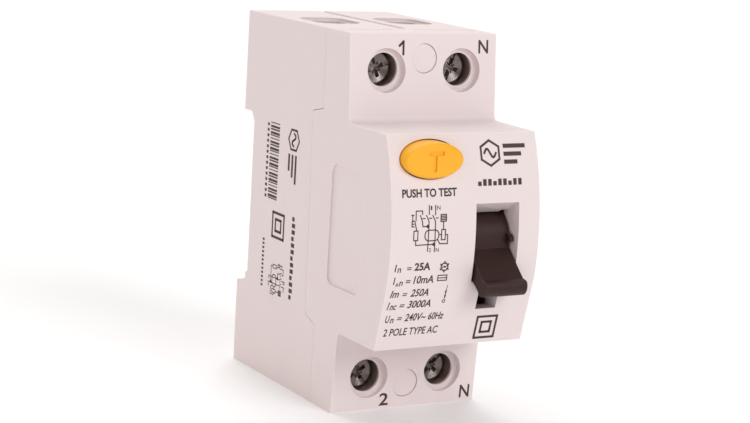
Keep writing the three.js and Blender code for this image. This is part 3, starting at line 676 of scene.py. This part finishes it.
def small_symbols():
    """Toothed ring, ruled box and arrow beside the ratings."""
    ring_u, ring_v = -4.8, -4.58
    ink_line("nose", ring_points(ring_u, ring_v, 0.85, 6), 0.26, closed=True)
    for i in range(6):
        a = math.radians(30 + 60 * i)
        tooth = [(ring_u + r * math.cos(a), ring_v + r * math.sin(a)) for r in (0.8, 1.08)]
        ink_line("nose", tooth, 0.34)
    ink_line("nose", [(-5.2, -4.7), (-4.9, -4.45), (-4.7, -4.7), (-4.4, -4.45)], 0.24)
    ink_line("nose", [(-6.1, -7.5), (-3.96, -7.5), (-3.96, -6.38), (-6.1, -6.38)], 0.22, closed=True)
    ink_line("nose", [(-6.0, -6.94), (-4.05, -6.94)], 0.2)
    ink_line("nose", [(-3.4, -8.65), (-3.58, -11.6)], 0.14)
    for v in (-10.25, -11.2):
        ink_line("nose", [(-3.4, v + 0.35), (-3.5, v - 0.25), (-3.62, v + 0.3)], 0.22)
    ink_line("nose", ring_points(-3.61, -12.2, 0.32, 12), 0.16, closed=True)


def nose_print():
    """Caption, diagram, ratings and symbols on the left, and generic marks on the right."""
    ink_text("nose", "PUSH TO TEST", -15.5, -2.5, 10.0, 11.75, bold=0.03)
    wiring_diagram("nose", -8.95, 3.58, 1.0, 0.23)
    for row in RATINGS:
        ink_text("nose", *row)
    ink_line("nose", [(-16.0, -8.1), (-15.42, -8.1), (-15.65, -7.55)], 0.15, closed=True)
    small_symbols()
    emblem("nose", 6.2, 18.4, 1.1)
    for i in range(3):
        ink_bar("nose", 9.5, 15.0 - 1.1 * i, 19.35 - 1.6 * i, 20.2 - 1.6 * i)
    for i in range(9):
        u = 2.75 + 1.24 * i
        ink_bar("nose", u, u + 0.85, 11.85, 13.2 if i % 3 else 12.75)
    double_square("nose", 8.3, -18.9, 1.05)


def side_print():
    """Marks on the left side, read with the head tipped right: ticks, dashes, emblem and diagram."""
    tick_widths = (0.22, 0.5, 0.34, 0.56, 0.26)
    for i in range(25):
        u = -17.6 + 0.71 * i
        ink_bar("left_side", u, u + tick_widths[i % 5], 8.6, 13.0)
    for i in range(14):
        ink_bar("left_side", -17.2 + 1.25 * i, -16.55 + 1.25 * i, 7.0, 7.9)
    emblem("left_side", -15.1, 20.0, 1.1)
    for i in range(3):
        ink_bar("left_side", -11.8, -5.4 - 1.3 * i, 20.9 - 1.6 * i, 21.7 - 1.6 * i)
    double_square("left_side", 5.2, 14.4, 1.2)
    for i in range(13):
        u = 1.8 + 1.47 * i
        ink_bar("left_side", u, u + 0.95, 21.1, 22.6 if i % 3 else 22.2)
    wiring_diagram("left_side", 17.4, 14.9, 0.85, 0.2)
    for i in range(12):
        ink_bar("left_side", 9.2 + 0.96 * i, 9.7 + 0.96 * i, 7.2, 8.1)


def object_from(name, bm):
    mesh = bpy.data.meshes.new(name)
    bm.to_mesh(mesh)
    bm.free()
    obj = bpy.data.objects.new(name, mesh)
    bpy.context.scene.collection.objects.link(obj)
    return obj


def gather_ink(face):
    """Makes the face's marks one ink piece that rides on the housing."""
    bm = inks[face]
    bmesh.ops.recalc_face_normals(bm, faces=bm.faces)
    piece = object_from("print_on_" + face, bm)
    piece.data.materials.append(INK)
    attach(piece, "housing")


deck_print()
nose_print()
side_print()
for face in PLACES:
    gather_ink(face)

# ---------------------------------------------------------------- button, screws and clip spring


def loft(name, rings):
    """Solid through rings of points, each the same length, capped at both ends."""
    bm = bmesh.new()
    bridge(bm, [[bm.verts.new(p) for p in ring] for ring in rings])
    bmesh.ops.recalc_face_normals(bm, faces=bm.faces)
    return object_from(name, bm)


def oval(x, z, y, half_x, half_z, count):
    """Ring of points round an axis along Y, in metres."""
    angles = [2 * math.pi * i / count for i in range(count)]
    return [Vector((x + half_x * math.cos(a), y, z + half_z * math.sin(a))) * MM for a in angles]


def prism_y(name, outline, y0, y1):
    return loft(name, [[Vector((x, y, z)) * MM for x, z in outline] for y in (y0, y1)])


def carve(obj, cutters, bevel, segments=2):
    """Cuts the cutters out of obj, rounds the edges left behind and keeps the result as plain mesh."""
    for cutter in cutters:
        cut = obj.modifiers.new("cut", "BOOLEAN")
        cut.operation = "DIFFERENCE"
        cut.solver = "EXACT"
        cut.object = cutter
    shade(obj)
    round_edges(obj, bevel, segments)
    bpy.context.view_layer.update()
    graph = bpy.context.evaluated_depsgraph_get()
    mesh = bpy.data.meshes.new_from_object(obj.evaluated_get(graph))
    obj.modifiers.clear()
    obj.data = mesh
    for cutter in cutters:
        bpy.data.objects.remove(cutter)


def stand_in(piece, material, body, node):
    """Gives a piece its material and body, and puts it in the place of a CAD node."""
    piece.data.materials.clear()
    piece.data.materials.append(material)
    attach(piece, body)
    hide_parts(node)


BUTTON_X, BUTTON_Z = -8.45, 17.5
BUTTON_FACE = front_y("test_button")
BUTTON_HALF_WIDTH, BUTTON_HALF_HEIGHT = 7.0, 3.8
BUTTON_BACK = -58.7
SHOULDER_Y = BUTTON_FACE + 1.2
SHOULDER_INSET, SHOULDER_HEIGHT = 0.62, 1.08
CROWN_HEIGHT, CROWN_REACH = 0.12, 2.8
TEE = (
    (-1.7, 1.1), (-0.6, 1.1), (-0.5, -2.3), (0.45, -2.3),
    (0.35, 1.1), (2.0, 1.1), (2.0, 2.0), (-1.7, 2.0),
)
TEE_DEPTH = 0.4
STEM_R = 1.6
STEM_LENGTHWISE = (BUTTON_BACK, -50.6, -50.4)


def push_button():
    """Oval cap with a rounded shoulder, a slight crown and an engraved T, on a round stem."""
    def cap_ring(inset, y):
        half_x, half_z = BUTTON_HALF_WIDTH - inset, BUTTON_HALF_HEIGHT - inset
        return oval(BUTTON_X, BUTTON_Z, y, half_x, half_z, 96)

    rings = [cap_ring(0.0, BUTTON_BACK), cap_ring(0.0, SHOULDER_Y)]
    for i in range(1, 9):
        a = math.radians(90 / 8 * i)
        inset = SHOULDER_INSET * (1 - math.cos(a))
        rings.append(cap_ring(inset, SHOULDER_Y - SHOULDER_HEIGHT * math.sin(a)))
    for i in range(1, 8):
        t = i / 8
        inset = SHOULDER_INSET + CROWN_REACH * t
        rings.append(cap_ring(inset, BUTTON_FACE + CROWN_HEIGHT * (1 - t) ** 2))
    cap = loft("push_button_cap", rings)
    outline = [(BUTTON_X + x, BUTTON_Z + z) for x, z in TEE]
    carve(cap, [prism_y("tee", outline, BUTTON_FACE - 1, BUTTON_FACE + TEE_DEPTH)], 0.12, 3)
    stand_in(cap, BUTTON, "button", "test_button")

    stem_rings = [oval(BUTTON_X, BUTTON_Z, y, STEM_R, STEM_R, 48) for y in STEM_LENGTHWISE]
    stem = loft("push_button_stem", stem_rings)
    shade(stem)
    stand_in(stem, BUTTON, "button", "test_button")


HEAD_FACE = front_y("terminal_screw_upper_left")
HEAD_BACK = -36.1
SHANK_R, THREAD_ROOT_R = 2.2, 1.9
SHANK_END = -22.6
THREAD_START, THREAD_PITCH, THREAD_TURNS = -22.9, 0.8, 16
# The head from its rim to its dished middle: radius, and how far behind the face.
HEAD_PROFILE = ((3.6, 0.35), (3.48, 0.12), (3.2, 0.0), (2.9, 0.02), (2.7, 0.12), (1.4, 0.2))
# The cuts in the head: half length, half width, depth and turn. A cross, its ribs, then the slot.
HEAD_CUTS = (
    (2.1, 0.45, 1.6, 0),
    (2.1, 0.45, 1.6, math.pi / 2),
    (1.35, 0.2, 0.7, math.pi / 4),
    (1.35, 0.2, 0.7, -math.pi / 4),
    (4.2, 0.5, 0.55, 0),
)


def terminal_screw(tag, turn):
    """Cheese-head screw: chamfered, slightly dished head with a cross and a slot, on a threaded shank."""
    cx, _, cz = middle("terminal_screw_" + tag)

    def circle(r, y):
        return oval(cx, cz, y, r, r, 64)

    rings = [circle(SHANK_R, SHANK_END)]
    for i in range(THREAD_TURNS):
        y = THREAD_START - THREAD_PITCH * i
        rings += [circle(SHANK_R, y), circle(THREAD_ROOT_R, y - THREAD_PITCH / 2)]
    rings.append(circle(SHANK_R, THREAD_START - THREAD_PITCH * THREAD_TURNS))
    rings += [circle(SHANK_R, HEAD_BACK), circle(HEAD_PROFILE[0][0], HEAD_BACK)]
    rings += [circle(r, HEAD_FACE + behind) for r, behind in HEAD_PROFILE]
    screw = loft("machined_" + tag, rings)

    cutters = []
    for length, width, depth, offset in HEAD_CUTS:
        c, s = math.cos(turn + offset), math.sin(turn + offset)
        corners = box_points(-length, length, -width, width)
        outline = [(cx + a * c - b * s, cz + a * s + b * c) for a, b in corners]
        cutters.append(prism_y("bar", outline, HEAD_FACE - 1, HEAD_FACE + depth))
    carve(screw, cutters, 0.06)
    stand_in(screw, SCREW, "screw_" + tag, "terminal_screw_" + tag)


COIL_TURNS, COIL_STEPS = 6, 24
COIL_R, WIRE_R = 1.1, 0.25
WIRE_SIDES = 8
COIL_FOOT, COIL_RISE = -34.0, 7.4
COIL_Y = 2.9


def clip_coil():
    """Compression spring in the rail clip: its foot stays put."""
    climb = COIL_RISE / (2 * math.pi * COIL_TURNS)
    around = [2 * math.pi * k / WIRE_SIDES for k in range(WIRE_SIDES)]
    rings = []
    for i in range(COIL_TURNS * COIL_STEPS + 1):
        a = 2 * math.pi * i / COIL_STEPS
        outward = Vector((math.cos(a), math.sin(a), 0))
        along = Vector((-COIL_R * math.sin(a), COIL_R * math.cos(a), climb)).normalized()
        side = along.cross(outward)
        height = COIL_FOOT + COIL_RISE * i / (COIL_TURNS * COIL_STEPS)
        centre = Vector((0, COIL_Y, height)) + COIL_R * outward
        spokes = [WIRE_R * (math.cos(b) * outward + math.sin(b) * side) for b in around]
        rings.append([(centre + spoke) * MM for spoke in spokes])
    coil = loft("rail_clip_coil", rings)
    for face in coil.data.polygons:
        face.use_smooth = len(face.vertices) == 4
    stand_in(coil, SPRING, "housing", "rail_clip_spring")
    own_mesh(coil)


# How far each screw is turned, in radians.
SCREW_TURNS = (("upper_left", 0.35), ("upper_right", 1.25), ("lower_left", 2.1), ("lower_right", 0.8))

push_button()
clip_coil()
for tag, turn in SCREW_TURNS:
    terminal_screw(tag, turn)

# ---------------------------------------------------------------- floor and light

FLOOR_HALF = 6.0  # metres
WORLD_COLOUR, WORLD_STRENGTH = (1.0, 0.975, 0.965, 1), 0.4
# Wide suns: name, direction they shine from, spread in degrees, strength and colour.
SUNS = (
    ("key", (0.25, -0.85, 0.5), 30, 1.22, (0.97, 0.99, 1.0)),
    ("back", (0.1, 0.55, 0.83), 60, 1.9, (1.0, 0.99, 0.98)),
    ("fill", (-0.9, -0.3, 0.35), 60, 0.6, (1.0, 0.96, 0.94)),
)


def make_floor():
    bm = bmesh.new()
    corners = box_points(-FLOOR_HALF, FLOOR_HALF, -FLOOR_HALF, FLOOR_HALF)
    bm.faces.new([bm.verts.new((x, y, cad_low.z)) for x, y in corners])
    floor = object_from("floor", bm)
    mat, tree, bsdf = new_material("floor_paper")
    tone = mix(tree, noise(tree, scale=40, detail=3, rough=0.5), (0.93, 0.93, 0.93), (0.95, 0.95, 0.95))
    link(tree, tone, bsdf.inputs["Base Color"])
    bsdf.inputs["Roughness"].default_value = 0.9
    bsdf.inputs["Specular IOR Level"].default_value = 0.1
    floor.data.materials.append(mat)


def light_studio():
    world = bpy.data.worlds.new("studio")
    bpy.context.scene.world = world
    world.use_nodes = True
    background = world.node_tree.nodes["Background"]
    background.inputs["Color"].default_value = WORLD_COLOUR
    background.inputs["Strength"].default_value = WORLD_STRENGTH
    for name, origin, spread, strength, colour in SUNS:
        data = bpy.data.lights.new(name, "SUN")
        data.angle = math.radians(spread)
        data.energy = strength
        data.color = colour
        lamp = bpy.data.objects.new(name, data)
        lamp.rotation_euler = (-Vector(origin)).to_track_quat("-Z", "Y").to_euler()
        bpy.context.scene.collection.objects.link(lamp)


make_floor()
light_studio()
bpy.context.scene.view_settings.view_transform = "Standard"
